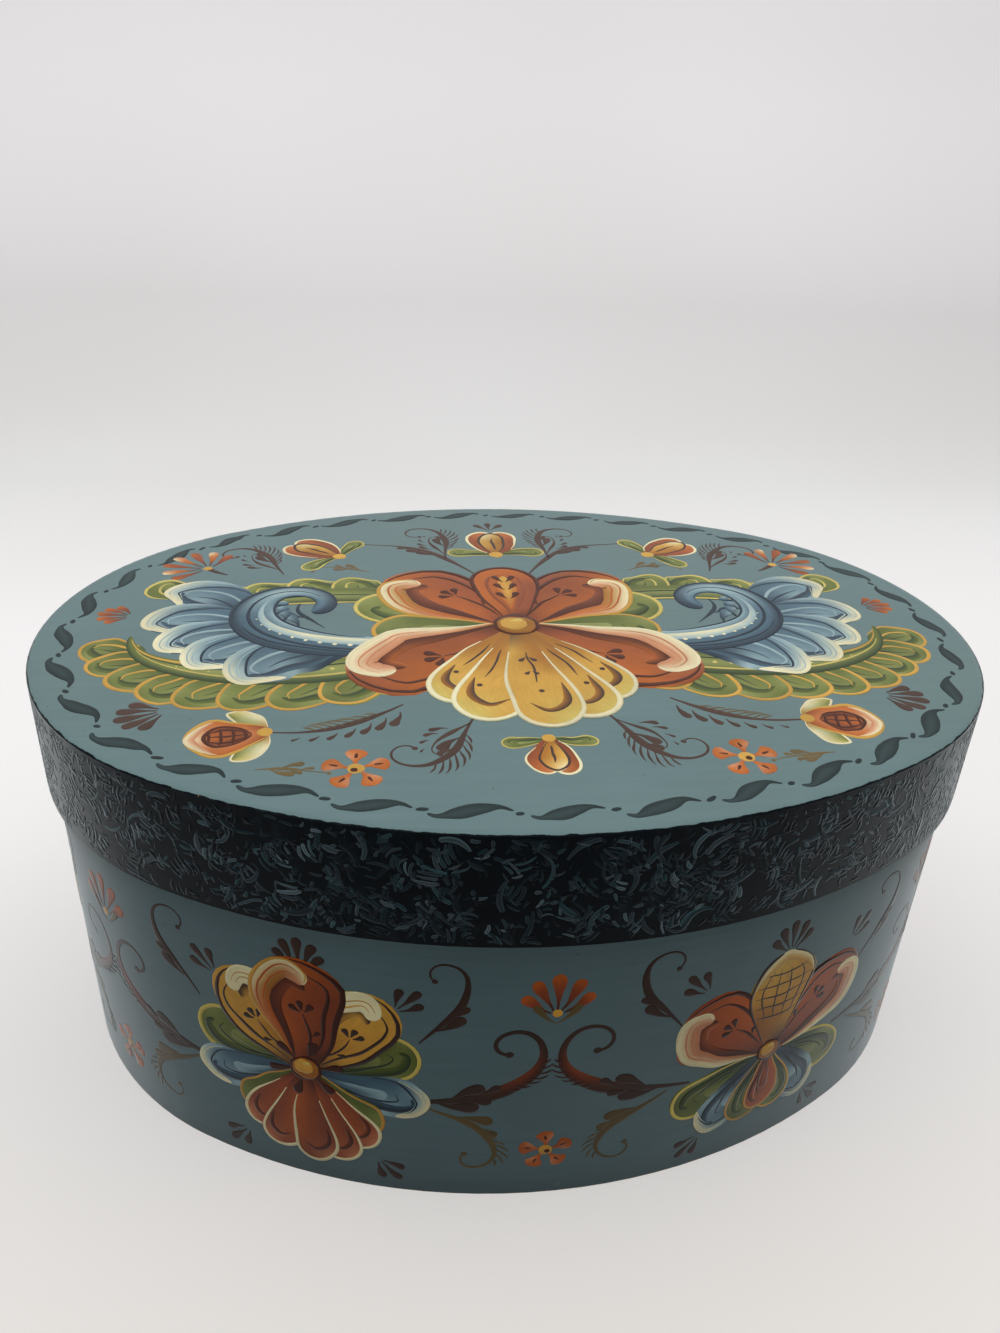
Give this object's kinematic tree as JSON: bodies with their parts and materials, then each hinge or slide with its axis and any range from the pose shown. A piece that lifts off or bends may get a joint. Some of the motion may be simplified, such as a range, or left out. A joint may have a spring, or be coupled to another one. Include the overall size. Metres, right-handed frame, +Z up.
{
  "type": "oval bentwood box",
  "caption": "Oval painted bentwood storage box with lapped thin wood bands, a flat base and a deep drop-over lid that lifts off.",
  "frame": {"origin": "middle of the oval footprint, on the underside of the base", "axes": "+X along the oval, +Y to the back where both bands are lapped, +Z up, the way the lid lifts off"},
  "size_m": [0.33, 0.248, 0.147],
  "materials": {
    "blue_paint": "satin blue-grey milk paint on thin wood, with folk flowers and scrolls painted over it",
    "rim_paint": "near-black blue paint with small slate comb marks, satin",
    "bare_wood": "bare pale softwood, sanded",
    "peg_wood": "split hardwood pegs, cut flush, painted over outside",
    "tack_metal": "copper tack heads, painted over outside"
  },
  "bodies": {
    "box": {"base_board": "bare_wood", "body_band": "blue_paint", "base_pegs": "peg_wood", "body_lap_tacks": "tack_metal"},
    "lid": {"lid_board": "blue_paint", "lid_band": "rim_paint", "lid_pegs": "peg_wood", "lid_lap_tacks": "tack_metal"}
  },
  "joints": [
    {"name": "lid_lift", "type": "slide", "parent": "box", "child": "lid", "axis": [0, 0, 1], "range_m": [0, 0.1]}
  ]
}
